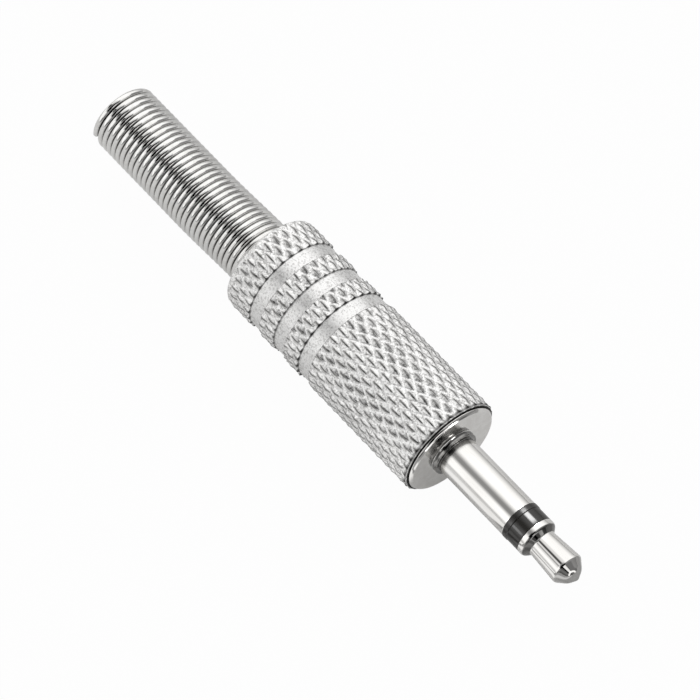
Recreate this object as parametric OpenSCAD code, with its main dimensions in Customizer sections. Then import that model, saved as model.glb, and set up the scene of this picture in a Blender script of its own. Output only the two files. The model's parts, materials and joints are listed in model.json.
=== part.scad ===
// Mono jack plug with a knurled screw-on barrel and a coil spring strain relief.
// The plug's axis is X and its tip points to +X. The origin is the centre of the flange's front face.

/* [Plug pin] */
// Diameter of the sleeve, of the insulating ring and of the tip's shoulder
pin_d = 3.5; // [3.4:0.02:3.6]
// Length of the sleeve in front of the flange
sleeve_len = 7.62; // [6:0.02:10]
// Length of the black insulating ring
ring_len = 1.78; // [1:0.02:2.5]
// Height of the raised band at the rear of the insulating ring
ring_lip = 0.03; // [0.01:0.01:0.06]
// Length of that raised band
ring_lip_len = 0.6; // [0.4:0.05:0.9]
// Length of the tip in front of the insulating ring
tip_len = 5; // [4.5:0.05:6]
// Length of the tip's round shoulder
shoulder_len = 0.56; // [0.3:0.02:0.8]
// Length of the bevel from the shoulder down to the neck
shoulder_bevel = 0.46; // [0.3:0.02:0.7]
// Diameter of the neck
neck_d = 2.44; // [2.3:0.02:2.7]
// Diameter of the head at its widest
head_d = 2.86; // [2.7:0.02:3.2]
// Length of the bevelled nose
nose_len = 1.2; // [1:0.05:1.6]
// Diameter where the nose turns blunter
nose_break_d = 1.6; // [1.2:0.05:1.9]
// Diameter of the blunt point
point_d = 0.24; // [0.1:0.02:0.5]
// Diameter of the tip's rod
rod_d = 1.36; // [1.1:0.02:1.5]
// Wall of the insulating tube round the rod
liner_wall = 0.38; // [0.25:0.01:0.45]

/* [Flange and spigot] */
// How far the flange's rim lies inside the top of the knurl
flange_step = 0.3; // [0.1:0.05:0.5]
// Thickness of the flange
flange_t = 0.52; // [0.46:0.02:0.8]
// Rounding of the flange's front edge
flange_edge = 0.4; // [0.2:0.02:0.44]
// Diameter of the collar at the foot of the sleeve
collar_d = 4.16; // [3.8:0.02:4.4]
// Height of that collar
collar_h = 0.16; // [0.1:0.02:0.3]
// Pitch of the barrel thread, which sets its undercut and its lead-in bevel
thread_pitch = 0.75; // [0.5:0.05:1]
// Length of the spigot behind the flange
spigot_len = 5.2; // [4:0.1:6]

/* [Barrel] */
// Diameter over the knurl
barrel_d = 9.1; // [8.8:0.05:10]
// Length of the barrel
barrel_len = 22.18; // [20:0.02:26]
// Depth of the knurl
knurl_depth = 0.2; // [0.1:0.01:0.26]
// Wall between the bottom of the knurl and the thread
barrel_wall = 0.8; // [0.6:0.05:1]
// Knurl ridges round the barrel, for each hand
knurl_starts = 30; // [20:1:34]
// Length of one knurl diamond along the barrel
knurl_pitch = 1.76; // [1.2:0.01:2.2]
// Distance from the barrel's front edge to its first row of tops
first_tops = 0.17; // [0:0.01:0.8]
// Number of plain turned grooves
groove_count = 3; // [1:1:4]
// Width of one groove
groove_w = 1.36; // [0.8:0.02:1.6]
// Distance from one groove to the next
groove_pitch = 3; // [2.6:0.1:3.6]
// Depth of the grooves below the bottom of the knurl
groove_depth = 0.02; // [0.01:0.01:0.1]
// Width of the barrel behind the rear groove
rear_band = 2.92; // [2.2:0.02:4]
// Rounding of the barrel's rear edge
rear_edge = 0.5; // [0.2:0.05:0.6]
// Bevel of the barrel's front edge
front_edge = 0.12; // [0.05:0.01:0.25]
// Thickness of the shoulder at the rear that holds the spring in
barrel_floor = 1; // [0.6:0.05:1.6]
// Height of that shoulder, from the bore to the rear hole
barrel_ledge = 0.45; // [0.35:0.05:0.6]

/* [Strain relief spring] */
// Diameter of the wire
wire_d = 0.55; // [0.45:0.01:0.65]
// Gap from one turn to the next
turn_gap = 0.013; // [0.005:0.001:0.05]
// Turns that stand out of the barrel
turns_out = 32.5; // [20:0.25:36]
// Turns over which the trapped end widens
flare_turns = 1; // [0.5:0.25:1.5]
// Full turns of the widened end
flare_full_turns = 1.25; // [0.75:0.25:2]

/* [Contacts and insulation] */
// Diameter of the cable that the clamp is made for
cable_d = 3.5; // [3.3:0.1:3.9]
// Thickness of the stamped contacts
lug_t = 0.35; // [0.25:0.01:0.4]
// Inside radius of their bends
bend_r = 0.2; // [0.1:0.01:0.25]
// Length of the cable clamp
clamp_len = 3; // [2:0.1:3.4]
// Height of the clamp's ears above the plug's axis
ear_h = 1.3; // [0.8:0.05:1.6]
// Length of the earth contact from its ring to the end of its clamp
sleeve_lug_len = 9.5; // [9:0.1:10.5]
// Width of the strip between ring and clamp
strip_w = 1.6; // [1.2:0.05:2]
// Length of the tip contact's solder tab
tab_len = 4.2; // [3:0.1:4.8]
// Width of the solder tab
tab_w = 1.7; // [1.5:0.05:2]
// Diameter of the hole in the solder tab
tab_hole_d = 0.9; // [0.6:0.05:1]
// Thickness of the insulating washer
washer_t = 0.8; // [0.5:0.05:1.2]
// Height of the peened end of the rod
peen_h = 0.45; // [0.3:0.05:0.7]
// Wall of the loose insulating tube in the barrel
tube_wall = 0.35; // [0.2:0.01:0.4]

/* [Clearances] */
// Clearance round fixed pieces that fit into each other
fit_gap = 0.02; // [0.01:0.005:0.04]
// Radial clearance between barrel thread and spigot
thread_gap = 0.05; // [0.02:0.01:0.1]
// Gap between the flange and the barrel's front edge
seat_gap = 0.11; // [0.03:0.01:0.15]
// Clearance round pieces that lie loose in the barrel
loose_gap = 0.1; // [0.05:0.01:0.12]

/* [Hidden] */
$fn = 96;
arc_steps = 6;
over = 1;

// Pin, from the flange forwards
pin_r = pin_d / 2;
rod_r = rod_d / 2;
liner_r = rod_r + fit_gap + liner_wall;
pin_bore_r = liner_r + fit_gap;
sleeve_edge = 0.04;
ring_front_x = sleeve_len + ring_len;
tip_x = ring_front_x + tip_len;
nose_x = tip_x - nose_len;
nose_break_x = tip_x - 0.33 * nose_len;

// Barrel, from the outside in
barrel_r = barrel_d / 2;
valley_r = barrel_r - knurl_depth;
barrel_core_r = valley_r - groove_depth;
barrel_bore_r = valley_r - barrel_wall;
rear_hole_r = barrel_bore_r - barrel_ledge;

// Flange, spigot and the stack of contacts behind it
flange_r = barrel_r - flange_step;
collar_r = collar_d / 2;
thread_r = barrel_bore_r - thread_gap;
flange_back_x = -flange_t;
undercut_w = thread_pitch;
undercut_r = thread_r - 0.6 * thread_pitch;
thread_bevel = 0.4 * thread_pitch;
spigot_x = flange_back_x - spigot_len;
washer_x = spigot_x - lug_t;
tip_lug_x = washer_x - washer_t;
peen_x = tip_lug_x - lug_t;
peen_r = rod_r + 0.38;

// Barrel, from its front edge backwards
barrel_front_x = flange_back_x - seat_gap;
barrel_rear_x = barrel_front_x - barrel_len;
floor_x = barrel_rear_x + barrel_floor;
mouth_bevel = 0.15;
rear_hole_bevel = 0.15;
plain_land = 0.04;
first_groove_x = barrel_rear_x + rear_band;
last_groove_end_x = first_groove_x + (groove_count - 1) * groove_pitch + groove_w;
half_diamond = knurl_pitch / 2;
knurl_x = barrel_front_x - first_tops + half_diamond;
columns = 2 * knurl_starts;
row_margin = 0.02;

// Spring, counted in turns from its cut rear end
wire_r = wire_d / 2;
turn_pitch = wire_d + turn_gap;
coil_r = rear_hole_r - loose_gap - wire_r;
flare_r = barrel_bore_r - loose_gap - wire_r;
spring_x = barrel_rear_x - turns_out * turn_pitch;
flare_start_x = floor_x + wire_r + loose_gap;
straight_turns = (flare_start_x - spring_x) / turn_pitch;
total_turns = straight_turns + flare_turns + flare_full_turns;
steps_per_turn = 16;
wire_sides = 6;
rings = round(total_turns * steps_per_turn);
cut_end_angle = 180;

// Loose tube and the contacts inside it
tube_r = barrel_bore_r - loose_gap;
tube_bore_r = tube_r - tube_wall;
tube_front_x = spigot_x - loose_gap;
tube_rear_x = spring_x + total_turns * turn_pitch + wire_r + loose_gap;
cable_r = cable_d / 2;
clamp_r = cable_r + lug_t;
clamp_x = spigot_x - sleeve_lug_len;
strip_z = cable_r + fit_gap;
strip_lap = 0.3;
tab_z = peen_r + loose_gap + bend_r;
tab_end_x = peen_x - tab_len;
washer_r = strip_z - bend_r - fit_gap;
tip_ring_r = peen_r + lug_t;

// Turns a shape about Z so that it lies along X
module along_x() {
    rotate([0, 90, 0]) children();
}

// Solid of revolution about X from points of [radius, x]
module turned(profile) {
    along_x() rotate_extrude() polygon(profile);
}

// Cylinder about X from x0 to x1
module rod(r, x0, x1) {
    translate([x0, 0, 0]) along_x() cylinder(r = r, h = x1 - x0);
}

// Cutter that bevels the mouth of a hole to radius r at x, where dir is the way out of the hole
module countersink(r, x, dir) {
    turned([[0, x - dir * r], [r + over, x + dir * over], [0, x + dir * over]]);
}

// Points of a round edge, from angle a0 to a1 about [u, v]
function edge_arc(u, v, radius, a0, a1) = [
    for (i = [0 : arc_steps])
        let (a = a0 + (a1 - a0) * i / arc_steps)
            [u + radius * cos(a), v + radius * sin(a)]
];

// Knurl: a lattice of columns round the barrel and rows along it. Where column plus row is even lies
// the bottom of a diamond's corner, and where it is odd lies the top of a diamond. The lattice is turned by
// half a column, so that the plug lies on two lines of tops.
function knurl_height(u) = 1 - abs(1 - (u - 2 * floor(u / 2)));

function knurl_point(column, height, x) =
    let (a = (column + 0.5) * 360 / columns, r = valley_r + knurl_depth * height)
        [x, r * cos(a), r * sin(a)];

function row_x(row) = knurl_x + row * half_diamond;

// Where a knurled band is cut across, kept clear of the lattice rows
function cut_row(x) =
    let (row = (x - knurl_x) / half_diamond, near = round(row))
        abs(row - near) < row_margin ? near + row_margin : row;

// Cut edge of a band: by turns a point on a column and a point in the valley that follows it
function cut_ring(row, x) = [
    for (j = [0 : columns - 1])
        let (base = floor(row), f = row - base, even = (j + base) % 2 == 0)
            each [
                knurl_point(j, knurl_height(row + j), x),
                knurl_point(even ? j + f : j + 1 - f, 0, x)
            ]
];

// Faces between the cut edge at the rear of a band and the first whole row
function rear_cell(j, edge, line) =
    let (n = (j + 1) % columns, a = edge + 2 * j, v = a + 1, b = edge + 2 * n, c = line + j, d = line + n)
        [[a, c, v], [v, c, d], [v, d, b]];

// Faces between two whole rows, split along the valley
function middle_cell(j, row, line) =
    let (n = (j + 1) % columns, p = line + j, q = line + n, c = p + columns, d = q + columns)
        (j + row) % 2 == 0 ? [[p, d, q], [p, c, d]] : [[p, c, q], [q, c, d]];

// Faces between the last whole row and the cut edge at the front of a band
function front_cell(j, edge, line) =
    let (n = (j + 1) % columns, p = line + j, q = line + n, a = edge + 2 * j, v = a + 1, b = edge + 2 * n)
        [[p, a, v], [p, v, q], [q, v, b]];

// Solid knurled bar from x0 to x1
module knurled_bar(x0, x1) {
    s0 = cut_row(x0);
    s1 = cut_row(x1);
    first = ceil(s0);
    last = floor(s1);
    rows = last - first + 1;
    line = 2 * columns;
    front = line + rows * columns;
    axis_rear = front + 2 * columns;
    axis_front = axis_rear + 1;
    lattice = [
        for (row = [first : last], j = [0 : columns - 1])
            knurl_point(j, knurl_height(row + j), row_x(row))
    ];
    points = concat(cut_ring(s0, x0), lattice, cut_ring(s1, x1), [[x0, 0, 0], [x1, 0, 0]]);
    faces = [
        for (j = [0 : columns - 1])
            each concat(
                rear_cell(j, 0, line),
                [for (i = [0 : 1 : rows - 2]) each middle_cell(j, first + i, line + i * columns)],
                front_cell(j, front, line + (rows - 1) * columns)
            ),
        for (i = [0 : 2 * columns - 1])
            let (n = (i + 1) % (2 * columns))
                each [[axis_rear, i, n], [axis_front, front + n, front + i]]
    ];
    polyhedron(points, faces);
}

// Screw-on shell: knurled bands on a plain turned core, bored from the front up to the rear shoulder
module barrel() {
    core_profile = concat(
        [[0, barrel_front_x], [barrel_core_r - front_edge, barrel_front_x]],
        [[barrel_core_r, barrel_front_x - front_edge]],
        edge_arc(barrel_core_r - rear_edge, barrel_rear_x + rear_edge, rear_edge, 0, -90),
        [[0, barrel_rear_x]]
    );
    color("gainsboro")
        difference() {
            union() {
                turned(core_profile);
                knurled_bar(barrel_rear_x + rear_edge + plain_land, first_groove_x);
                for (i = [1 : 1 : groove_count - 1])
                    knurled_bar(
                        first_groove_x + (i - 1) * groove_pitch + groove_w,
                        first_groove_x + i * groove_pitch
                    );
                knurled_bar(last_groove_end_x, barrel_front_x - front_edge - plain_land);
            }
            rod(barrel_bore_r, floor_x, barrel_front_x + over);
            rod(rear_hole_r, barrel_rear_x - over, floor_x + over);
            countersink(barrel_bore_r + mouth_bevel, barrel_front_x, 1);
            countersink(rear_hole_r + rear_hole_bevel, barrel_rear_x, -1);
        }
}

// Middle of the wire, counted in turns from the cut rear end
function wire_radius(turn) =
    coil_r + (flare_r - coil_r) * min(1, max(0, turn - straight_turns) / flare_turns);

// Ring of points round the wire, with a corner of the section outwards
function wire_ring(turn) =
    let (a = cut_end_angle - 360 * turn, r = wire_radius(turn), x = spring_x + turn * turn_pitch)
        [
            for (k = [0 : wire_sides - 1])
                let (
                    b = k * 360 / wire_sides,
                    out = r + wire_r * cos(b)
                )
                    [x + wire_r * sin(b), out * cos(a), out * sin(a)]
        ];

// Close-wound, left-handed spring, widened at its front end
module strain_relief_spring() {
    points = [for (i = [0 : rings]) each wire_ring(i / steps_per_turn)];
    sides = [
        for (i = [0 : rings - 1], k = [0 : wire_sides - 1])
            let (
                n = (k + 1) % wire_sides,
                p = i * wire_sides + k,
                q = i * wire_sides + n
            )
                each [[p, q, q + wire_sides], [p, q + wire_sides, p + wire_sides]]
    ];
    rear_end = [for (k = [wire_sides - 1 : -1 : 0]) k];
    front_end = [for (k = [0 : wire_sides - 1]) rings * wire_sides + k];
    color("silver") polyhedron(points, concat(sides, [rear_end, front_end]));
}

// Thin tube that lies loose in the barrel
module insulating_tube() {
    color("white", 0.6)
        difference() {
            rod(tube_r, tube_rear_x, tube_front_x);
            rod(tube_bore_r, tube_rear_x - over, tube_front_x + over);
        }
}

// Turned body: sleeve, collar, flange and spigot
module plug_sleeve() {
    profile = concat(
        [[pin_bore_r, sleeve_len], [pin_r - sleeve_edge, sleeve_len], [pin_r, sleeve_len - sleeve_edge]],
        [[pin_r, collar_h], [collar_r - collar_h / 2, collar_h]],
        [[collar_r, collar_h / 2], [collar_r, 0]],
        edge_arc(flange_r - flange_edge, -flange_edge, flange_edge, 90, 0),
        [[flange_r, flange_back_x], [undercut_r, flange_back_x]],
        [[undercut_r, flange_back_x - undercut_w], [thread_r, flange_back_x - undercut_w - thread_bevel]],
        [[thread_r, spigot_x + thread_bevel], [thread_r - thread_bevel, spigot_x], [pin_bore_r, spigot_x]]
    );
    color("silver") turned(profile);
}

// Black ring in front of the sleeve, in one with the tube round the rod
module tip_insulator() {
    color([0.05, 0.05, 0.05])
        difference() {
            turned([
                [0, ring_front_x],
                [pin_r, ring_front_x],
                [pin_r, sleeve_len + ring_lip_len],
                [pin_r + ring_lip, sleeve_len + ring_lip_len - ring_lip],
                [pin_r + ring_lip, sleeve_len + ring_lip],
                [pin_r, sleeve_len],
                [liner_r, sleeve_len],
                [liner_r, washer_x],
                [0, washer_x]
            ]);
            rod(rod_r + fit_gap, washer_x - over, ring_front_x + over);
        }
}

// Turned tip with its rod, peened over behind the tip contact
module tip_contact() {
    profile = concat(
        [[0, tip_x], [point_d / 2, tip_x], [nose_break_d / 2, nose_break_x], [head_d / 2, nose_x]],
        [[neck_d / 2, ring_front_x + shoulder_len + shoulder_bevel]],
        [[pin_r, ring_front_x + shoulder_len], [pin_r, ring_front_x], [rod_r, ring_front_x]],
        [[rod_r, peen_x], [peen_r, peen_x], [peen_r, peen_x - 0.4 * peen_h]],
        [[0.5 * peen_r, peen_x - peen_h], [0, peen_x - peen_h]]
    );
    color("silver") turned(profile);
}

// Strip of sheet metal that runs at height z from x_end forwards, and is bent down there into a plate
// whose rear face is at plate_x
module bent_strip(x_end, plate_x, z, w) {
    leg_z = z - bend_r - strip_lap;
    profile = concat(
        [[x_end, z], [x_end, z + lug_t]],
        edge_arc(plate_x - bend_r, z - bend_r, bend_r + lug_t, 90, 0),
        [[plate_x + lug_t, leg_z], [plate_x, leg_z]],
        edge_arc(plate_x - bend_r, z - bend_r, bend_r, 0, 90)
    );
    rotate([90, 0, 0]) linear_extrude(w, center = true) polygon(profile);
}

// Round plate with a hole, cut off straight above height z for a bent strip
module lug_plate(r, hole_r, x, z) {
    difference() {
        rod(r, x, x + lug_t);
        rod(hole_r, x - over, x + lug_t + over);
        translate([x - over, -r, z]) cube([lug_t + 2 * over, 2 * r, r]);
    }
}

// U-shaped trough for the cable, with two ears to fold over it
module cable_clamp() {
    difference() {
        union() {
            rod(clamp_r, clamp_x, clamp_x + clamp_len);
            translate([clamp_x, -clamp_r, 0]) cube([clamp_len, 2 * clamp_r, ear_h]);
        }
        rod(cable_r, clamp_x - over, clamp_x + clamp_len + over);
        translate([clamp_x - over, -cable_r, 0])
            cube([clamp_len + 2 * over, 2 * cable_r, clamp_r + over]);
        translate([clamp_x - over, -clamp_r - over, ear_h])
            cube([clamp_len + 2 * over, 2 * (clamp_r + over), clamp_r]);
    }
}

// Earth contact: plate on the spigot's end, strip, and cable clamp with two ears
module sleeve_lug() {
    color("khaki") {
        mirror([0, 0, 1]) {
            lug_plate(clamp_r, liner_r + fit_gap, washer_x, strip_z - bend_r);
            bent_strip(clamp_x + clamp_len - strip_lap, washer_x, strip_z, strip_w);
        }
        cable_clamp();
    }
}

// Insulating washer between the two contacts
module rear_washer() {
    color("saddlebrown")
        difference() {
            rod(washer_r, tip_lug_x, washer_x);
            rod(rod_r + fit_gap, tip_lug_x - over, washer_x + over);
        }
}

// Tip contact: plate under the peened rod, bent back into a solder tab with a hole
module tip_lug() {
    hole_x = tab_end_x + tab_w / 2;
    color("khaki") {
        lug_plate(tip_ring_r, rod_r + fit_gap, peen_x, tab_z - bend_r);
        difference() {
            union() {
                bent_strip(hole_x, peen_x, tab_z, tab_w);
                translate([hole_x, 0, tab_z]) cylinder(d = tab_w, h = lug_t);
            }
            translate([hole_x, 0, tab_z - over]) cylinder(d = tab_hole_d, h = lug_t + 2 * over);
        }
    }
}

barrel();
strain_relief_spring();
insulating_tube();
plug_sleeve();
tip_insulator();
tip_contact();
sleeve_lug();
rear_washer();
tip_lug();
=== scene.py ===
import json

import bpy
import numpy as np
from mathutils import Matrix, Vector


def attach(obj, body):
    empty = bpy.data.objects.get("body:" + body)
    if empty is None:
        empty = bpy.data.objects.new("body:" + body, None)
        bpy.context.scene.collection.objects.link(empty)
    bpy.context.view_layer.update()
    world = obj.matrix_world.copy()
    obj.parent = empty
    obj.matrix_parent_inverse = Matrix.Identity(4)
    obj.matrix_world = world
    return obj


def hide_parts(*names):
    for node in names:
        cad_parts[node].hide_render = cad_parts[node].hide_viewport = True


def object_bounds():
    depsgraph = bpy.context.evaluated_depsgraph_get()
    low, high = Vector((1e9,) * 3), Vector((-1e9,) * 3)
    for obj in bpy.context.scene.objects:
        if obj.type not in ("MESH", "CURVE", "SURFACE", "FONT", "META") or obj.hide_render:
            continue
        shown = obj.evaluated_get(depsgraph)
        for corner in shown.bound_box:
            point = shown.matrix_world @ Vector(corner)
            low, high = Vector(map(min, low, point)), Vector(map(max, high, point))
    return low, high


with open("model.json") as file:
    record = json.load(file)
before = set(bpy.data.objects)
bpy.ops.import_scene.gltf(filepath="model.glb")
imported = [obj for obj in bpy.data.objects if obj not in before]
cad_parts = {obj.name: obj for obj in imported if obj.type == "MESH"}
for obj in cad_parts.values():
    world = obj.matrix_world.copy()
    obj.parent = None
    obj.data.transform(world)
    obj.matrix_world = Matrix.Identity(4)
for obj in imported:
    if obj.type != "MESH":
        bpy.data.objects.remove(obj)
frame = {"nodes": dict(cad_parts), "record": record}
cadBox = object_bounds()
nodes = frame["nodes"]
print("frame loaded:", ", ".join(sorted(nodes)))

tau = 2 * np.pi
degree = tau / 360
mm = 0.001
white = (1, 1, 1, 1)
black = (0, 0, 0, 1)


class Wire:
    # one socket of a node tree: arithmetic on it adds Math nodes, node() adds any other node
    def __init__(self, tree, socket=None):
        self.tree = tree
        self.socket = socket

    def feed(self, target, value):
        if isinstance(value, Wire):
            self.tree.links.new(value.socket, target)
        else:
            target.default_value = value

    def node(self, kind, settings, inputs, out=0):
        made = self.tree.nodes.new(kind)
        for key, value in settings.items():
            setattr(made, key, value)
        for key, value in inputs.items():
            self.feed(made.inputs[key], value)
        return Wire(self.tree, made.outputs[out])

    def calc(self, operation, *values):
        return self.node("ShaderNodeMath", {"operation": operation}, dict(enumerate(values)))

    def __add__(self, other):
        return self.calc("ADD", self, other)

    def __radd__(self, other):
        return self.calc("ADD", other, self)

    def __sub__(self, other):
        return self.calc("SUBTRACT", self, other)

    def __rsub__(self, other):
        return self.calc("SUBTRACT", other, self)

    def __mul__(self, other):
        return self.calc("MULTIPLY", self, other)

    def __rmul__(self, other):
        return self.calc("MULTIPLY", other, self)

    def step(self, low, high):  # 0 below low, 1 above high, smooth between
        settings = {"interpolation_type": "SMOOTHSTEP"}
        return self.node("ShaderNodeMapRange", settings, {0: self, 1: low, 2: high, 3: 0.0, 4: 1.0})

    def band(self, rise, full, fall, end):  # 0 before rise, 1 from full to fall, 0 after end
        return self.step(rise, full) * (1 - self.step(fall, end))

    def tint(self, low, high):  # colour low where the value is 0, high where it is 1
        return self.node("ShaderNodeMix", {"data_type": "RGBA"}, {0: self, 6: low, 7: high}, 2)

    def stretch(self, x, y, z):  # a vector, each way times its own number
        return self.node("ShaderNodeVectorMath", {"operation": "MULTIPLY"}, {0: self, 1: (x, y, z)})

    def along(self, direction):  # how far a vector reaches in a direction, times the direction's length
        settings = {"operation": "DOT_PRODUCT"}
        return self.node("ShaderNodeVectorMath", settings, {0: self, 1: direction}, "Value")

    def turn(self):  # angle of a vector about the X axis, in degrees from +Y over the top
        y, z = self.along((0, 1, 0)), self.along((0, 0, 1))
        return self.calc("ARCTAN2", z, y) * (1 / degree)

    def noise(self, scale, detail, roughness):
        inputs = {"Vector": self, "Scale": scale, "Detail": detail, "Roughness": roughness}
        return self.node("ShaderNodeTexNoise", {}, inputs)

    def bump(self, strength, distance):
        inputs = {"Height": self, "Strength": strength, "Distance": distance}
        return self.node("ShaderNodeBump", {}, inputs)

    def attribute(self, name):
        return self.node("ShaderNodeAttribute", {"attribute_name": name}, {}, "Fac")

    def place(self, kind="Object"):
        return self.node("ShaderNodeTexCoord", {}, {}, kind)

    def ray(self, kind):
        return self.node("ShaderNodeLightPath", {}, {}, kind)

    def mix(self, first, second):  # shader first where the value is 0, second where it is 1
        return self.node("ShaderNodeMixShader", {}, {0: self, 1: first, 2: second})


def makeFinish(name, fixed, varied):
    # Principled surface: fixed numbers on its own sockets, varied ones from the piece's Object coordinates
    finish = bpy.data.materials.new(name)
    finish.use_nodes = True
    tree = finish.node_tree
    shader = tree.nodes["Principled BSDF"]
    for socket, value in fixed.items():
        shader.inputs[socket].default_value = value
    for socket, wire in varied(Wire(tree).place()).items():
        wire.feed(shader.inputs[socket], wire)
    return finish


# in the finishes a noise is (scale, detail, roughness), a bump (strength, metres); limits along x are in mm
alongX = (1 / mm, 0, 0)

# satin nickel over blasted brass: strong fine grain, calmer and lighter on turned floors and, as a painted
# highlight, on the front of the bevel; spines of the knurl smoother, with painted shade along them and in the
# marked recesses
satinNickel = {
    "pale": (0.98, 0.975, 0.965, 1), "deep": (0.46, 0.455, 0.445, 1),
    "paintedSpineShade": (0.08, 0.078, 0.075, 1), "paintedShade": (0.03, 0.029, 0.028, 1),
    "grain": (5200, 2.0, 0.6), "specks": (8600, 1.0, 0.5), "cloud": (420, 2.0, 0.5), "contrast": (0.40, 0.60),
    "floorCalm": 0.35, "floorToneAndBevelHighlight": 0.22, "roughness": 0.36, "polish": 0.28, "bump": (1.0, 3.2e-5),
}


def satinVaried(place):
    look = satinNickel
    spine, plain, paintedShade = (place.attribute(name) for name in ("spine", "plain", "paintedShade"))
    grain, specks, cloud = (place.noise(*look[name]) for name in ("grain", "specks", "cloud"))
    rough = 1 - look["floorCalm"] * plain
    mottle = (grain * 0.6 + specks * 0.4 + cloud * 0.1).step(*look["contrast"])
    # lighter where plain: the turned floors, and a painted highlight on the front of the bevel
    tone = mottle * rough + look["floorToneAndBevelHighlight"] * plain
    satin = tone.tint(look["deep"], look["pale"])
    sheen = look["roughness"] + (grain - 0.5) * 0.2 + (cloud - 0.5) * 0.06
    return {
        # painted shade along the spines and where the barrel marks its recesses, over the mottled satin
        "Base Color": paintedShade.tint(spine.tint(satin, look["paintedSpineShade"]), look["paintedShade"]),
        "Roughness": sheen - spine * look["polish"] + paintedShade * 0.2,
        "Normal": ((grain - 0.5) * rough * (1 - 0.8 * spine)).bump(*look["bump"]),
    }


# bright nickel on turned brass: fine rings left by the lathe, wiped marks, duller round the collar, with painted
# shade there and where the pieces mark it
brightNickel = {
    "pale": (0.88, 0.87, 0.85, 1), "deep": (0.80, 0.785, 0.76, 1), "paintedShade": (0.03, 0.029, 0.028, 1),
    "rings": (9000, 2.0, 0.6), "ringStretch": (1, 0.02, 0.02),
    "wipes": (1500, 3.0, 0.55), "wipeStretch": (0.15, 1, 1),
    "dull": (-0.33, -0.29, 0.3, 1.6), "paintedCollarShade": (-0.27, -0.25, 0.25, 0.9),
    "roughness": 0.035, "bump": (0.05, 2e-6),
}


def brightVaried(place):
    look = brightNickel
    rings = place.stretch(*look["ringStretch"]).noise(*look["rings"])
    wipes = place.stretch(*look["wipeStretch"]).noise(*look["wipes"])
    plate = wipes.step(0.3, 0.75).tint(look["deep"], look["pale"])
    x = place.along(alongX)
    # painted shade where the piece marks it and in a band round the collar, patchy with the wipes
    paintedShade = place.attribute("paintedShade") * (0.6 + 0.8 * wipes) + x.band(*look["paintedCollarShade"]) * (0.4 + 0.6 * wipes)
    sheen = look["roughness"] + rings * 0.05 + wipes.step(0.5, 0.8) * 0.05
    return {
        "Base Color": paintedShade.tint(plate, look["paintedShade"]),
        "Roughness": sheen + x.band(*look["dull"]) * 0.07,
        "Normal": rings.bump(*look["bump"]),
    }


# plated spring wire: drawn smooth, dull specks, painted shade in the crevices where the turns touch, more on one
# side
springWire = {
    "pale": (0.86, 0.855, 0.84, 1), "deep": (0.74, 0.73, 0.71, 1), "paintedCreviceShade": (0.03, 0.0295, 0.0285, 1),
    "specks": (2600, 3.0, 0.6), "cloud": (300, 2.0, 0.5), "paintedShadeTurns": (96, 110, 150, 180),
    "roughness": 0.055, "bump": (0.06, 3e-6),
}


def wireVaried(place):
    look = springWire
    specks, cloud = (place.noise(*look[name]) for name in ("specks", "cloud"))
    # painted shade in the crevices, stronger on one side of the spring
    crevice = place.attribute("crevice") * (0.4 + 0.6 * place.turn().band(*look["paintedShadeTurns"]))
    plate = (specks * 0.6 + cloud * 0.4).step(0.25, 0.7).tint(look["deep"], look["pale"])
    return {
        "Base Color": crevice.tint(plate, look["paintedCreviceShade"]),
        "Roughness": look["roughness"] + specks.step(0.45, 0.8) * 0.07 + crevice * 0.3,
        "Normal": specks.bump(*look["bump"]),
    }


# glossy black moulding, its raised rear band duller
blackMould = {
    "deep": (0.0078, 0.0064, 0.0048, 1), "pale": (0.017, 0.0145, 0.0115, 1),
    "flow": (1400, 3.0, 0.5), "bandEnd": (8.06, 8.12), "roughness": 0.1, "bump": (0.05, 4e-6),
}


def mouldVaried(place):
    look = blackMould
    flow = place.noise(*look["flow"])
    rearBand = 1 - place.along(alongX).step(*look["bandEnd"])
    return {
        "Base Color": flow.tint(look["deep"], look["pale"]),
        "Roughness": look["roughness"] + flow.step(0.4, 0.8) * 0.06 + rearBand * 0.12,
        "Normal": flow.bump(*look["bump"]),
    }


# milky extruded tube, fine draw lines along it
milkyTube = {
    "pale": (0.88, 0.88, 0.85, 1), "deep": (0.80, 0.80, 0.75, 1),
    "lines": (3000, 2.0, 0.5), "lineStretch": (0.04, 1, 1), "roughness": 0.38, "bump": (0.12, 6e-6),
}


def tubeVaried(place):
    look = milkyTube
    lines = place.stretch(*look["lineStretch"]).noise(*look["lines"])
    return {
        "Base Color": lines.tint(look["deep"], look["pale"]),
        "Roughness": look["roughness"] + lines * 0.14,
        "Normal": lines.bump(*look["bump"]),
    }


# brown laminated fibre, layers across the washer
brownFibre = {
    "dark": (0.23, 0.095, 0.045, 1), "light": (0.40, 0.20, 0.11, 1),
    "layers": (1700, 3.0, 0.65), "layerStretch": (6, 0.6, 0.6), "specks": (4200, 2.0, 0.6),
    "roughness": 0.6, "bump": (0.25, 8e-6),
}


def fibreVaried(place):
    look = brownFibre
    layers = place.stretch(*look["layerStretch"]).noise(*look["layers"])
    specks = place.noise(*look["specks"])
    return {
        "Base Color": (layers * 0.7 + specks * 0.3).step(0.3, 0.7).tint(look["dark"], look["light"]),
        "Roughness": look["roughness"] + specks * 0.2,
        "Normal": layers.bump(*look["bump"]),
    }


# tin over stamped brass: soft mottled sheen, brass showing faintly through
tinPlate = {
    "tin": (0.76, 0.75, 0.72, 1), "brass": (0.70, 0.61, 0.42, 1),
    "mottle": (1500, 4.0, 0.6), "scratch": (5200, 2.0, 0.6), "scratchStretch": (0.1, 1, 1),
    "roughness": 0.22, "bump": (0.14, 5e-6),
}


def tinVaried(place):
    look = tinPlate
    mottle = place.noise(*look["mottle"])
    scratch = place.stretch(*look["scratchStretch"]).noise(*look["scratch"])
    return {
        "Base Color": (mottle.step(0.56, 0.78) * 0.6).tint(look["tin"], look["brass"]),
        "Roughness": look["roughness"] + mottle * 0.16 + scratch * 0.08,
        "Normal": scratch.bump(*look["bump"]),
    }


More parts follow.
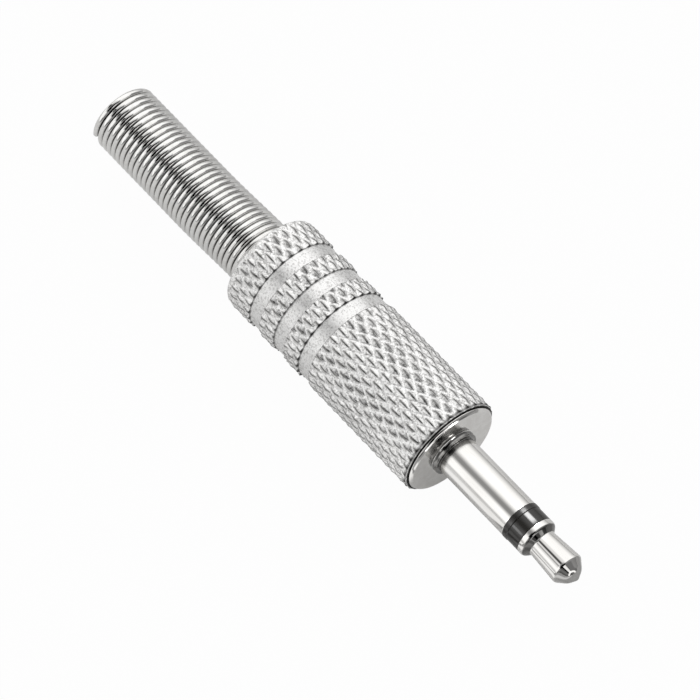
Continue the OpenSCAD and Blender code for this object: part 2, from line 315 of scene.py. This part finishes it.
metal = {"Metallic": 1.0}
finishes = {
    "satin_nickel": makeFinish("satinNickel", metal, satinVaried),
    "bright_nickel": makeFinish("brightNickel", metal, brightVaried),
    "spring_wire": makeFinish("springWire", metal, wireVaried),
    "black_plastic": makeFinish("blackMould", {"IOR": 1.6}, mouldVaried),
    "tube_plastic": makeFinish("milkyTube", {"IOR": 1.5}, tubeVaried),
    "washer_fibre": makeFinish("brownFibre", {"IOR": 1.5}, fibreVaried),
    "tinned_brass": makeFinish("tinPlate", metal, tinVaried),
}
for part in frame["record"]["subparts"]:
    nodes[part["node"]].data.materials.clear()
    nodes[part["node"]].data.materials.append(finishes[part["material_slot"]])
print("finishes:", len(finishes))


def gridCells(rows, columns, ring):
    # corner numbers of the cells between neighbouring rows and columns; columns close, rows close on a ring
    i = np.arange(rows if ring else rows - 1)[:, None]
    j = np.arange(columns)[None, :]
    nextRow = (i + 1) % rows * columns
    nextColumn = (j + 1) % columns
    corners = (i * columns + j, i * columns + nextColumn, nextRow + nextColumn, nextRow + j)
    return np.stack(corners, -1).reshape(-1, 4)


def closedTube(rows, columns):
    # cells of an open grid, and fans that close its first and last row to two points numbered after its own
    k = np.arange(columns)
    after = (k + 1) % columns
    last = (rows - 1) * columns
    firstFan = np.stack([np.full(columns, rows * columns), after, k], -1)
    lastFan = np.stack([np.full(columns, rows * columns + 1), last + k, last + after], -1)
    return [gridCells(rows, columns, False), firstFan, lastFan]


def outwards(points, faces):
    # faces turned round where the volume that they enclose comes out negative
    volume = 0.0
    for cells in faces:
        for k in range(1, cells.shape[1] - 1):
            a, b, c = points[cells[:, 0]], points[cells[:, k]], points[cells[:, k + 1]]
            volume += np.einsum("ij,ij->i", a, np.cross(b, c)).sum()
    return faces if volume > 0 else [cells[:, ::-1] for cells in faces]


def putPiece(name, points, faces, body, node, slot, values=None):
    # points in millimetres become a smooth mesh in metres that stands for its CAD node
    mesh = bpy.data.meshes.new(name)
    rows = [row for cells in outwards(points, faces) for row in cells.tolist()]
    mesh.from_pydata((points * mm).tolist(), [], rows)
    mesh.polygons.foreach_set("use_smooth", np.ones(len(rows), bool))
    for key, value in (values or {}).items():
        mesh.attributes.new(key, "FLOAT", "POINT").data.foreach_set("value", value.astype(np.float32))
    mesh.update()
    piece = bpy.data.objects.new(name, mesh)
    bpy.context.scene.collection.objects.link(piece)
    mesh.materials.append(finishes[slot])
    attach(piece, body)
    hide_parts(node)
    print(name, "faces:", len(rows))


rounding = {"steps": 5, "cutShare": 0.47, "holdShare": 0.49, "holdGap": 0.03}


def roundCorners(corners, ring):
    # a profile of (x, radius, rounding): each corner becomes a quadratic curve between two points that lie one
    # rounding away from it on its two sides, with a holding point just outside each end of the curve
    data = np.array(corners, float)
    xy, size = data[:, :2], data[:, 2:]
    before, after = np.roll(xy, 1, 0) - xy, np.roll(xy, -1, 0) - xy
    reachBefore, reachAfter = (np.linalg.norm(v, axis=1, keepdims=True) for v in (before, after))
    before, after = before / reachBefore, after / reachAfter
    reach = np.minimum(reachBefore, reachAfter)
    cut = np.minimum(size, rounding["cutShare"] * reach)
    hold = np.minimum(cut + rounding["holdGap"], rounding["holdShare"] * reach)
    t = np.linspace(0, 1, rounding["steps"])[None, :, None]
    start, middle, end = (xy + before * cut)[:, None], xy[:, None], (xy + after * cut)[:, None]
    curve = (1 - t) ** 2 * start + 2 * t * (1 - t) * middle + t ** 2 * end
    held = [(xy + before * hold)[:, None], curve, (xy + after * hold)[:, None]]
    rows = np.concatenate(held, 1).reshape(-1, 2)
    if not ring:  # the two ends of an open profile stay as they are
        perCorner = rounding["steps"] + 2
        rows = np.concatenate([xy[:1], rows[perCorner:-perCorner], xy[-1:]])
    return rows


def smooth(t):
    # 0 before 0, 1 after 1, level at both ends
    t = np.clip(t, 0, 1)
    return t * t * (3 - 2 * t)


def evenAngles(count):
    return np.arange(count) * tau / count


def spun(x, radius, angle):
    # points at a distance from the X axis, turned about it from +Y towards +Z
    return np.stack(np.broadcast_arrays(x, radius * np.cos(angle), radius * np.sin(angle)), -1)


# screw thread that joins barrel and spigot
thread = {
    "pitch": 0.75, "crest": 3.5, "depth": 0.42, "steepness": 1.35, "perPitch": 8, "start": -1.35, "end": -5.55,
    "leadIn": 0.35, "lowestEnd": 0.35,
}


def threadWave(x, angle):
    # 1 on the crest of a right-handed helix and 0 half a pitch away: a zigzag with its points cut flat
    turn = (x - thread["pitch"] * angle / tau) / thread["pitch"]
    zigzag = np.abs(2 * (turn - np.floor(turn)) - 1)
    return np.clip(thread["steepness"] * (zigzag - 0.5) + 0.5, 0, 1)


# knurled barrel; mouth rows are (behind the front, outside the bore)
barrel = {
    "front": -0.63, "rear": -22.81, "top": 4.55, "depth": 0.2, "blank": 4.6, "floor": 4.33,
    "grooves": (-19.89, -16.89, -13.89), "grooveWidth": 1.36, "wall": 0.04, "hold": 0.02,
    "columns": 60, "halfDiamond": 0.88, "firstTops": -0.715, "turned": 2.0,
    "softCut": 0.16, "softRidge": 0.5, "softTop": 0.06,
    "spineWidth": 0.20, "spineEnd": 1.35, "spineFade": 0.5, "spineAbove": 4.52,
    "frontEdge": 4.37, "bevelSlope": 1.05, "bevel": 0.2, "bevelLit": 0.08, "rearRound": 0.52, "rearEdge": 4.5,
    "bore": 3.55, "boreMiddle": -12.0, "rearHole": 3.10, "sink": 0.2, "shoulder": -21.81, "edge": 0.04,
    "threadRear": -5.7, "rearFade": 0.4, "threadStop": 0.3, "frontClear": 0.28, "frontFade": 0.2,
    "mouth": ((0.2, 0.0), (0.04, 0.13), (0.0, 0.17), (0.0, 0.3)),
    "perColumn": 6, "perRow": 6, "roundRows": 9, "bevelRows": 5, "rowGap": 0.3, "tolerance": 0.001,
}


def knurlForm(x, angle):
    # two crossing sets of helical cuts with rounded bottoms: each gives the distance to its nearest cut, and the
    # smaller one, softly taken, is the height, so that rounded ridges meet on a rounded top; the second result
    # is 1 on the spine that runs lengthways over each top, and fades to both sides and towards its ends
    column = (angle - barrel["turned"] * degree) * barrel["columns"] / tau - 0.5
    row = (x - barrel["firstTops"]) / barrel["halfDiamond"] + 1
    a, b = (c - 2 * np.floor(c / 2) - 1 for c in (column + row, column - row))
    cut, top = barrel["softCut"], barrel["softTop"]
    full = np.sqrt(1 + cut * cut) - cut
    fall = [(np.sqrt((1 - np.abs(c)) ** 2 + cut * cut) - cut) / full for c in (a, b)]
    fall = [1 + top - np.sqrt((1 - f) ** 2 + top ** 2) for f in fall]
    soft = barrel["softRidge"] * 0.5 * (fall[0] + fall[1])
    ridge = 0.5 * (fall[0] + fall[1] - np.sqrt((fall[0] - fall[1]) ** 2 + soft ** 2))
    spine = np.exp(-((a + b) / 2 / barrel["spineWidth"]) ** 2)
    spine = spine * np.clip((barrel["spineEnd"] - np.abs(a - b)) / barrel["spineFade"], 0, 1)
    return np.clip(ridge / (1 - 0.5 * barrel["softRidge"]), 0, 1), spine


def knurlRadius(height):
    return barrel["top"] - barrel["depth"] + barrel["depth"] * height


def barrelLimit(x):
    # largest radius along the barrel: front bevel, grooves with steep walls, quarter-round rear edge
    blank = barrel["blank"]
    limit = np.minimum(blank, barrel["frontEdge"] + (barrel["front"] - x) * barrel["bevelSlope"])
    for start in barrel["grooves"]:
        inside = np.minimum(x - start, start + barrel["grooveWidth"] - x) / barrel["wall"]
        limit = np.minimum(limit, blank - (blank - barrel["floor"]) * np.clip(inside, 0, 1))
    r = barrel["rearRound"]
    behind = np.clip(barrel["rear"] + r - x, 0, r)
    quarter = barrel["rearEdge"] - r + np.sqrt(np.maximum(r * r - behind ** 2, 0))
    return np.where(x > barrel["rear"] + r, limit, np.minimum(limit, quarter))


def barrelRows():
    # x of the outer rows, front first: the knurl's lattice, and extra rows at every edge
    b = barrel
    step = b["halfDiamond"] / b["perRow"]
    first = np.ceil((b["rear"] - b["firstTops"]) / step)
    lattice = b["firstTops"] + step * np.arange(first, 2)
    starts = np.array(b["grooves"])
    ends = starts + b["grooveWidth"]
    wall, hold = b["wall"], b["hold"]
    rearWalls = [starts - hold, starts, starts + wall, starts + wall + hold]
    frontWalls = [ends - wall - hold, ends - wall, ends, ends + hold]
    quarter = b["rear"] + b["rearRound"] * (1 - np.cos(np.linspace(0, tau / 4, b["roundRows"])))
    bevel = b["front"] - np.linspace(0, b["bevel"], b["bevelRows"])
    breaks = np.concatenate([*rearWalls, *frontWalls, quarter, bevel])
    apart = np.abs(lattice[:, None] - breaks[None, :]).min(1) > b["rowGap"] * step
    between = (lattice < b["front"] - b["bevel"]) & (lattice > b["rear"] + b["rearRound"])
    return np.unique(np.round(np.concatenate([lattice[apart & between], breaks]), 5))[::-1]


def barrelFinish(x, height, spine, limit):
    # plain: turned groove floors, and the front of the bevel, lighter there as a painted highlight; the second
    # mask paints shade on the foot of the groove walls and the start of the bevel, stronger where the cut
    # pyramid is high, and on the front end inside the gap to the flange
    b = barrel
    wall, width, close = b["wall"], b["grooveWidth"], b["tolerance"]
    past = x[:, :, None] - np.array(b["grooves"])
    rearWall = (past > -close) & (past < wall + b["hold"] + close)
    frontWall = (past > width - wall - close) & (past < width + close)
    onWall = (rearWall | frontWall).any(2)
    ahead = b["front"] - x
    onBevel = (ahead > b["bevelLit"]) & (ahead < b["bevel"] + 0.01)
    plain = (limit < b["floor"] + 0.01) | (ahead < b["bevelLit"])
    return {
        "spine": spine * (limit > b["spineAbove"]),
        "plain": np.broadcast_to(plain, height.shape),
        "paintedShade": onWall * (0.5 + 0.5 * height) + onBevel * (0.6 + 0.4 * height) + (ahead < close),
    }


def barrelInside(angle):
    # x of each row and its radius at each angle: rear hole, shoulder, bore, then the thread up to the mouth
    b = barrel
    hole, bore, rear, shoulder, front = (b[key] for key in ("rearHole", "bore", "rear", "shoulder", "front"))
    sink, edge = b["sink"], b["edge"]
    plain = np.array([
        (rear, hole + 1.75 * sink), (rear, hole + sink),
        (rear + 0.25 * sink, hole + 0.4 * sink), (rear + sink, hole),
        (shoulder - edge, hole), (shoulder, hole + edge), (shoulder, bore - edge), (shoulder + edge, bore),
        (b["boreMiddle"], bore), (b["threadRear"] - 0.1, bore),
    ])
    threadX = np.arange(b["threadRear"], front - b["threadStop"], thread["pitch"] / thread["perPitch"])
    fade = np.clip((threadX - b["threadRear"]) / b["rearFade"], 0, 1)
    fade = fade * np.clip((front - b["frontClear"] - threadX) / b["frontFade"], 0, 1)
    cut = bore - (thread["depth"] * fade)[:, None] * (1 - threadWave(threadX[:, None], angle[None, :]))
    mouth = np.array([(front - back, bore + out) for back, out in b["mouth"]])
    ones = np.ones_like(angle)[None, :]
    x = np.concatenate([plain[:, 0], threadX, mouth[:, 0]])
    return x, np.concatenate([plain[:, 1:] * ones, cut, mouth[:, 1:] * ones])


def fitDiagonals(cells, radius, wanted, free):
    # free cells are split along the diagonal whose middle comes closer to the wanted radius
    errors = [np.abs(radius[cells[:, pair]].mean(1) - wanted) for pair in ([0, 2], [1, 3])]
    other = (errors[1] < errors[0]) & free
    same, turned = cells[~other], cells[other]
    return [same[:, [0, 1, 2]], same[:, [0, 2, 3]], turned[:, [0, 1, 3]], turned[:, [1, 2, 3]]]


def buildBarrel():
    # one closed surface: knurled outside from the front to the rear, then back through the inside
    b = barrel
    count = b["columns"] * b["perColumn"]
    angle = (np.arange(count) + 0.5 * b["perColumn"]) * tau / count + b["turned"] * degree
    x = barrelRows()
    height, spine = knurlForm(x[:, None], angle[None, :])
    limit = barrelLimit(x)[:, None]
    insideX, inside = barrelInside(angle)
    allX = np.concatenate([x, insideX])
    radius = np.concatenate([np.minimum(knurlRadius(height), limit), inside])
    points = spun(allX[:, None], radius, angle[None, :]).reshape(-1, 3)
    cells = gridCells(len(allX), count, True)
    middleX = allX[cells // count].mean(1)
    middleAngle = angle[cells[:, 0] % count] + 0.5 * tau / count
    wanted = knurlRadius(knurlForm(middleX, middleAngle)[0])
    faces = fitDiagonals(cells, radius.reshape(-1), wanted, np.arange(len(cells)) < len(x) * count)
    values = barrelFinish(x[:, None], height, spine, limit)
    values = {key: np.append(value.reshape(-1), np.zeros(inside.size)) for key, value in values.items()}
    # painted shade all over the mouth rows, inside the gap to the flange
    values["paintedShade"][-count * len(b["mouth"]):] = 1
    putPiece("knurledBarrel", points, faces, "shell", "barrel", "satin_nickel", values)


buildBarrel()

# close-wound spring, left-handed, counted in turns from its cut rear end; a zone is (start, length to the rear)
spring = {
    "rear": -41.1075, "pitch": 0.563, "radius": 2.725, "flare": 3.175, "wire": 0.275,
    "straight": 34.94, "flareTurns": 1.0, "fullTurns": 1.25, "startAngle": 0.5 * tau,
    "perTurn": 44, "sides": 20, "sprung": 0.05, "sprungTurns": 0.8,
    "domeWidth": 0.84, "domeEdge": 0.03, "domeTop": 0.035,
    "play": 0.08, "playZone": (-20.5, 2.3), "sag": 0.19, "sagZone": (-22.8, 8.0),
    "sagWay": (0.0, -0.938, -0.348), "creviceFrom": 0.73, "creviceFade": 0.2,
}


def buildSpring():
    # a round section carried along a helix, its plane through the axis; the cut rear end stands open a little,
    # and both ends close with a shallow dome
    s = spring
    total = s["straight"] + s["flareTurns"] + s["fullTurns"]
    turn = np.linspace(0, total, int(total * s["perTurn"]))
    radius = s["radius"] + (s["flare"] - s["radius"]) * smooth((turn - s["straight"]) / s["flareTurns"])
    angle = s["startAngle"] - tau * turn
    x = s["rear"] + s["pitch"] * turn - s["sprung"] * np.clip(1 - turn / s["sprungTurns"], 0, 1) ** 2
    section = evenAngles(s["sides"])
    out = radius[:, None] + s["wire"] * np.cos(section)[None, :]
    coil = spun(x[:, None] + s["wire"] * np.sin(section)[None, :], out, angle[:, None])
    # the coil leans to one side in its hole and bends a little more behind the barrel
    lean = 0
    for size, (start, length) in ((s["play"], s["playZone"]), (s["sag"], s["sagZone"])):
        lean = lean + size * smooth((start - x) / length)
    coil = coil + lean[:, None, None] * np.array(s["sagWay"])
    # cut faces: a slightly smaller ring just past each end, then a middle point
    edges, tops = [], []
    for row, a, way in ((coil[0], angle[0], 1), (coil[-1], angle[-1], -1)):
        centre = row.mean(0)
        past = np.array([0, -np.sin(a), np.cos(a)]) * way
        edges.append(centre + (row - centre) * s["domeWidth"] + past * s["domeEdge"])
        tops.append(centre + past * s["domeTop"])
    rings = np.concatenate([edges[:1], coil, edges[1:]])
    rows, sides = rings.shape[:2]
    points = np.concatenate([rings.reshape(-1, 3), tops])
    # painted shade in the crevices where the turns touch
    steep = np.clip((np.abs(np.sin(section)) - s["creviceFrom"]) / s["creviceFade"], 0, 1)
    values = {"crevice": np.append(np.tile(steep, rows), [0, 0])}
    faces = closedTube(rows, sides)
    putPiece("woundSpring", points, faces, "spring", "strain_relief_spring", "spring_wire", values)


buildSpring()

# pin: shared by sleeve, ring and tip
pin = {"radius": 1.75, "ringRear": 7.62, "ringFront": 9.40}

# turned body: sleeve, collar, flange, threaded spigot; edge rows are (behind face, inside rim, rounding)
sleeve = {
    "length": pin["ringRear"], "radius": pin["radius"], "bore": 1.10, "collar": 2.08, "collarFront": 0.18,
    "flange": 4.23, "face": -0.28, "flangeBack": -0.56, "neck": 3.05, "neckEnd": -1.3,
    "flangeEdge": ((0.0, 0.19, 0.03), (0.11, 0.07, 0.03), (0.22, 0.0, 0.02)),
    "spigotEnd": -5.72, "plainStart": (-5.6, 3.06), "plainEnd": 2.97, "columns": 144,
    "paintedShadeAlong": (-0.6, -0.54), "paintedShadeDepth": 0.06,
}


def buildSleeve():
    # a closed profile turned about the axis; on the spigot a helical wave lowers the radius between the crests
    s = sleeve
    face, rim, length, bore = s["face"], s["flange"], s["length"], s["bore"]
    front = roundCorners([
        (length, bore, 0.02), (length, s["radius"], 0.05), (s["collarFront"], s["radius"], 0.03),
        (s["collarFront"], s["collar"] - 0.02, 0.05), (face, s["collar"], 0.015),
    ], False)
    flange = roundCorners([
        (face, s["collar"] + 0.06, 0), *((face - back, rim - inside, r) for back, inside, r in s["flangeEdge"]),
        (s["flangeBack"], rim, 0.03), (s["flangeBack"], s["neck"], 0.05),
        (s["neckEnd"] + 0.03, s["neck"], 0.05), (s["neckEnd"], s["neck"] + 0.05, 0),
    ], False)
    rear = roundCorners([
        (*s["plainStart"], 0), (s["spigotEnd"], s["plainEnd"], 0.05), (s["spigotEnd"], bore, 0.02),
        (0.5 * length, bore, 0), (length, bore, 0),
    ], False)[:-1]
    ahead = np.concatenate([front, flange])
    angle = evenAngles(s["columns"])
    threadX = np.arange(thread["start"], thread["end"], -thread["pitch"] / thread["perPitch"])
    lead = np.clip((thread["start"] - threadX) / thread["leadIn"], 0, 1)
    lead = lead * np.clip((threadX - thread["end"]) / thread["leadIn"], thread["lowestEnd"], 1)
    root = thread["crest"] - thread["depth"]
    screw = root + thread["depth"] * lead[:, None] * threadWave(threadX[:, None], angle[None, :])
    ones = np.ones_like(angle)[None, :]
    x = np.concatenate([ahead[:, 0], threadX, rear[:, 0]])
    radius = np.concatenate([ahead[:, 1:] * ones, screw, rear[:, 1:] * ones])
    points = spun(x[:, None], radius, angle[None, :]).reshape(-1, 3)
    faces = [gridCells(len(x), s["columns"], True)]
    # painted shade on the rear corner of the rim
    start, end = s["paintedShadeAlong"]
    onCorner = (x > start) & (x < end) & (radius.min(1) > rim - s["paintedShadeDepth"])
    values = {"paintedShade": np.repeat(onCorner, s["columns"])}
    putPiece("turnedBody", points, faces, "plug_core", "plug_sleeve", "bright_nickel", values)


buildSleeve()

# tip: shoulder, bevel, neck widening to the head, two-step nose, rod peened over at the rear
tip = {
    "rear": pin["ringFront"], "front": 14.40, "radius": pin["radius"], "shoulder": 0.46, "bevel": 0.46,
    "neck": 1.22, "head": 1.43, "nose": 1.2, "noseBreak": 0.8, "breakShare": 0.33, "point": 0.12,
    "rod": 0.68, "rodEnd": -7.22, "peen": 1.06, "peenSide": 0.18, "peenHeight": 0.45, "columns": 128,
    "paintedShade": 0.75, "paintedShadeAlong": (0.1, 0.95),
}


def buildTip():
    # an open profile from the nose's point to the peened end, turned about the axis and closed with two fans
    p = tip
    front, rear, rodEnd, peen = p["front"], p["rear"], p["rodEnd"], p["peen"]
    bevelRear = rear + p["shoulder"]
    peenTop = rodEnd - p["peenHeight"]
    profile = roundCorners([
        (front, 0, 0), (front, p["point"], 0.05), (front - p["breakShare"] * p["nose"], p["noseBreak"], 0.24),
        (front - p["nose"], p["head"], 0.14), (bevelRear + p["bevel"], p["neck"], 0.06),
        (bevelRear, p["radius"], 0.18), (rear, p["radius"], 0.03), (rear, p["rod"], 0.02),
        (rodEnd, p["rod"], 0.02), (rodEnd, peen, 0.05), (rodEnd - p["peenSide"], peen, 0.1),
        (peenTop, 0.5 * peen, 0.1), (peenTop, 0, 0),
    ], False)[1:-1]
    rings = spun(profile[:, :1], profile[:, 1:], evenAngles(p["columns"])[None, :])
    points = np.concatenate([rings.reshape(-1, 3), [(front, 0, 0), (peenTop, 0, 0)]])
    faces = closedTube(*rings.shape[:2])
    # painted shade on the bevel behind the neck
    onBevel = (profile[:, 0] - bevelRear) / p["bevel"]
    start, end = p["paintedShadeAlong"]
    paintedShade = np.repeat(p["paintedShade"] * ((onBevel > start) & (onBevel < end)), p["columns"])
    values = {"paintedShade": np.append(paintedShade, [0, 0])}
    putPiece("turnedTip", points, faces, "plug_core", "tip_contact", "bright_nickel", values)


buildTip()

# black ring with its raised rear band, in one with the liner that runs back round the rod
ring = {
    "rear": pin["ringRear"] + 0.012, "front": pin["ringFront"], "radius": pin["radius"] - 0.005,
    "lip": pin["radius"] + 0.03, "lipEnd": pin["ringRear"] + 0.45, "lipFoot": 0.05, "undercut": 0.005,
    "bore": 0.70, "liner": 1.08, "linerEnd": -6.07, "columns": 128,
}


def buildRing():
    # a closed profile turned about the axis
    p = ring
    profile = roundCorners([
        (p["front"], p["bore"], 0.02), (p["front"], p["radius"], 0.06),
        (p["lipEnd"] + p["lipFoot"], p["radius"] - p["undercut"], 0.03), (p["lipEnd"], p["lip"], 0.03),
        (p["rear"], p["lip"], 0.03), (p["rear"], p["liner"], 0.02),
        (p["linerEnd"], p["liner"], 0.03), (p["linerEnd"], p["bore"], 0.02),
    ], True)
    angle = evenAngles(p["columns"])
    points = spun(profile[:, :1], profile[:, 1:], angle[None, :]).reshape(-1, 3)
    faces = [gridCells(len(profile), p["columns"], True)]
    putPiece("insulatingRing", points, faces, "plug_core", "tip_insulator", "black_plastic")


buildRing()


def bareTree(owner):
    owner.use_nodes = True
    owner.node_tree.nodes.clear()
    return Wire(owner.node_tree)


def toSurface(shader, kind):
    output = shader.tree.nodes.new(kind)
    shader.tree.links.new(shader.socket, output.inputs["Surface"])


def stagePlane(name, corners, material):
    mesh = bpy.data.meshes.new(name)
    mesh.from_pydata((np.array(corners) * mm).tolist(), [], [(0, 1, 2, 3)])
    plane = bpy.data.objects.new(name, mesh)
    bpy.context.scene.collection.objects.link(plane)
    mesh.materials.append(material)
    return plane


# floor: pale paper under the plug; the zones that show only in reflections are limits along x or y, in mm
floor = {
    "reach": 900, "z": cadBox[0][2] / mm, "paper": (0.8, 0.8, 0.8, 1), "seen": 0.97,
    "mirrored": 0.3, "pinDim": 0.6, "lit": 0.85, "flag": 0.5,
    "pin": (-8, -3), "pinEnd": (3.4, 4.4), "flagStart": (3, 4.2), "tip": (5.5, 6.5), "far": (12, 16),
    "nearSide": (-8, -5), "tipSide": (-18, -12), "springEnd": (-26, -22), "springSide": (0, 4),
}


def floorFinish():
    # the camera sees mostly plain white, with the shadow faintly on it; every other ray sees matt paper, and
    # reflections see painted light and painted shade on it in the zones that the pin and the spring mirror
    finish = bpy.data.materials.new("floorPaper")
    wire = bareTree(finish)
    paper, dark = (wire.node("ShaderNodeBsdfDiffuse", {}, {"Color": c}) for c in (floor["paper"], black))
    glow = wire.node("ShaderNodeEmission", {}, {"Color": white, "Strength": 1.0})
    camera, glossy = (wire.ray(kind) for kind in ("Is Camera Ray", "Is Glossy Ray"))
    place = wire.place()
    x, y = place.along(alongX), place.along((0, 1 / mm, 0))
    nearPin, underTip, far, flagStart = (x.step(*floor[name]) for name in ("pin", "tip", "far", "flagStart"))
    side = 1 - y.step(*floor["nearSide"])
    tipSide = y.step(*floor["tipSide"])
    lit = side * (nearPin * (1 - x.step(*floor["pinEnd"])) + underTip * tipSide)
    behindSpring = (1 - x.step(*floor["springEnd"])) * y.step(*floor["springSide"])
    mirrored = floor["mirrored"] * (1 - floor["pinDim"] * nearPin) * (1 - behindSpring) + floor["lit"] * lit
    flag = side * (flagStart * (1 - underTip) + underTip * (1 - tipSide)) * (1 - far) + far
    flag = glossy * flag * floor["flag"]
    shown = camera * floor["seen"] + glossy * mirrored * (1 - flag)
    toSurface(shown.mix(flag.mix(paper, dark), glow), "ShaderNodeOutputMaterial")
    return finish


corners = np.array([(-1, -1, 0), (1, -1, 0), (1, 1, 0), (-1, 1, 0)]) * floor["reach"] + (0, 0, floor["z"])
stagePlane("floor", corners, floorFinish())

# cards that show only in reflections: two white ones and a black one for the spring's turns, two small bright
# ones for the black ring; limits in mm and degrees are start, full, still full, end
cards = {
    "upperCard": {"distance": 28, "x": (-38, -37, -10, -9), "turns": (45, 47, 85, 87), "glow": 1.15},
    "lowerCard": {"distance": 28, "x": (-38, -37, -23, -22), "turns": (139, 141, 161, 163), "glow": 0.85},
    "darkCard": {"distance": 28, "x": (-120, -118, -57, -53), "turns": (108, 113, 127, 132), "glow": 0.0},
    "ringLight": {"distance": 7, "x": (5.65, 6.2, 7.1, 7.6), "turns": (51, 61, 73, 83), "glow": 16.0},
    "ringGlint": {"distance": 7, "x": (5.65, 6.2, 7.1, 7.6), "turns": (142, 147, 153, 158), "glow": 3.5},
}


def buildCard(name, card):
    # a flat strip along the axis between two angles about it, counted as in the tent, clear at its edges
    finish = bpy.data.materials.new(name)
    wire = bareTree(finish)
    place = wire.place()
    shown = place.along(alongX).band(*card["x"]) * place.turn().band(*card["turns"])
    clear = wire.node("ShaderNodeBsdfTransparent", {}, {})
    glow = wire.node("ShaderNodeEmission", {}, {"Color": white, "Strength": card["glow"]})
    toSurface(shown.mix(clear, glow), "ShaderNodeOutputMaterial")
    ends = np.array(card["x"], float)[[0, 3, 3, 0]]
    angle = np.array(card["turns"])[[0, 0, 3, 3]] * degree
    plane = stagePlane(name, spun(ends, card["distance"], angle), finish)
    plane.visible_camera = plane.visible_diffuse = plane.visible_shadow = False


for name, card in cards.items():
    buildCard(name, card)

# camera, fitted to the photo's outlines: aim, distance, lens and sensor in millimetres, clip in metres
view = {
    "aim": (-12.33, -0.28, 0.0), "distance": 334.5, "lens": 218.08, "sensor": 36, "clip": (0.01, 10),
    "right": (0.6430, 0.7659, 0.0), "up": (-0.6635, 0.5570, 0.4997), "back": (0.3827, -0.3213, 0.8662),
}


def buildCamera():
    # its axes are the columns of its matrix, and it stands back from the aim by the distance
    lens = bpy.data.cameras.new("camera")
    lens.lens = view["lens"]
    lens.sensor_width = view["sensor"]
    lens.clip_start, lens.clip_end = view["clip"]
    eye = bpy.data.objects.new("camera", lens)
    bpy.context.scene.collection.objects.link(eye)
    axes = np.array([view["right"], view["up"], view["back"]])
    axes /= np.linalg.norm(axes, axis=1, keepdims=True)
    placed = np.eye(4)
    placed[:3, :3] = axes.T
    placed[:3, 3] = (np.array(view["aim"]) + view["distance"] * np.array(view["back"])) * mm
    eye.matrix_world = Matrix(placed.tolist())
    bpy.context.scene.camera = eye


buildCamera()

# light: two long white screens on a grey tent, with a fill for rays that lean back, dark openings where the
# camera looks in, a dimmer zone ahead, and patches that the tapered tip and its nose mirror; turns are degrees
# about the plug's axis, from +Y over the top, and x is how far a ray leans forwards
tent = {
    "grey": 0.30,
    "screens": ({"turns": (-12, 42, 82, 113), "glow": 0.92}, {"turns": (122, 144, 166, 188), "glow": 0.9}),
    "fill": {"turns": (92, 107, 122, 134), "x": (-0.6, -0.48), "glow": 0.55},
    "openings": (
        {"turns": (102, 119, 134, 141), "x": (-0.22, 0.04), "dark": 0.98},
        {"turns": (88, 104, 120, 130), "x": (0.02, 0.16), "dark": 0.9},
    ),
    "ahead": {
        "x": (0.22, 0.34), "dark": 0.93, "glow": 0.2, "gap": (84, 100, 142, 152),
        "low": (158, 172), "lowDim": 0.7, "far": (0.7, 0.76), "farDim": 0.55,
    },
    "taper": {
        "turns": (84, 96, 146, 156), "x": (-0.6, -0.54, -0.43, -0.4), "glow": 0.9, "dark": 0.83,
        "line": (101, 111, 118, 125), "thinLine": (129, 134, 138, 144), "thinShare": 0.6,
    },
    "nose": {
        "turns": (92, 104, 122, 126), "x": (0.72, 0.78, 0.88, 0.93), "point": (0.87, 0.9, 0.945, 0.965),
        "glow": 1.05,
    },
}


def buildTent():
    world = bpy.data.worlds.new("tent")
    bpy.context.scene.world = world
    wire = bareTree(world)
    ray = wire.place("Generated")
    x, turn = ray.along((1, 0, 0)), ray.turn()
    fill, ahead, taper, nose = (tent[name] for name in ("fill", "ahead", "taper", "nose"))
    level = tent["grey"]
    for screen in tent["screens"]:
        level = level + turn.band(*screen["turns"]) * screen["glow"]
    level = level + fill["glow"] * turn.band(*fill["turns"]) * (1 - x.step(*fill["x"]))
    for opening in tent["openings"]:
        level = level * (1 - opening["dark"] * (turn.band(*opening["turns"]) * x.step(*opening["x"])))
    forwards = x.step(*ahead["x"])
    dimmed = (1 - ahead["lowDim"] * turn.step(*ahead["low"])) * (1 - ahead["farDim"] * x.step(*ahead["far"]))
    level = level * (1 - ahead["dark"] * forwards)
    level = level + ahead["glow"] * forwards * (1 - turn.band(*ahead["gap"])) * dimmed
    onTaper = x.band(*taper["x"]) * turn.band(*taper["turns"])
    lines = turn.band(*taper["line"]) + taper["thinShare"] * turn.band(*taper["thinLine"])
    level = level * (1 - onTaper) + onTaper * (taper["glow"] - taper["dark"] * lines)
    patches = x.band(*nose["x"]) * turn.band(*nose["turns"]) + x.band(*nose["point"])
    level = level + patches * nose["glow"]
    glow = wire.node("ShaderNodeBackground", {}, {"Color": white, "Strength": level})
    plain = wire.node("ShaderNodeBackground", {}, {"Color": white, "Strength": 1.0})
    toSurface(wire.ray("Is Camera Ray").mix(glow, plain), "ShaderNodeOutputWorld")


buildTent()
bpy.context.scene.view_settings.view_transform = "Standard"
print("stage, camera and light placed")
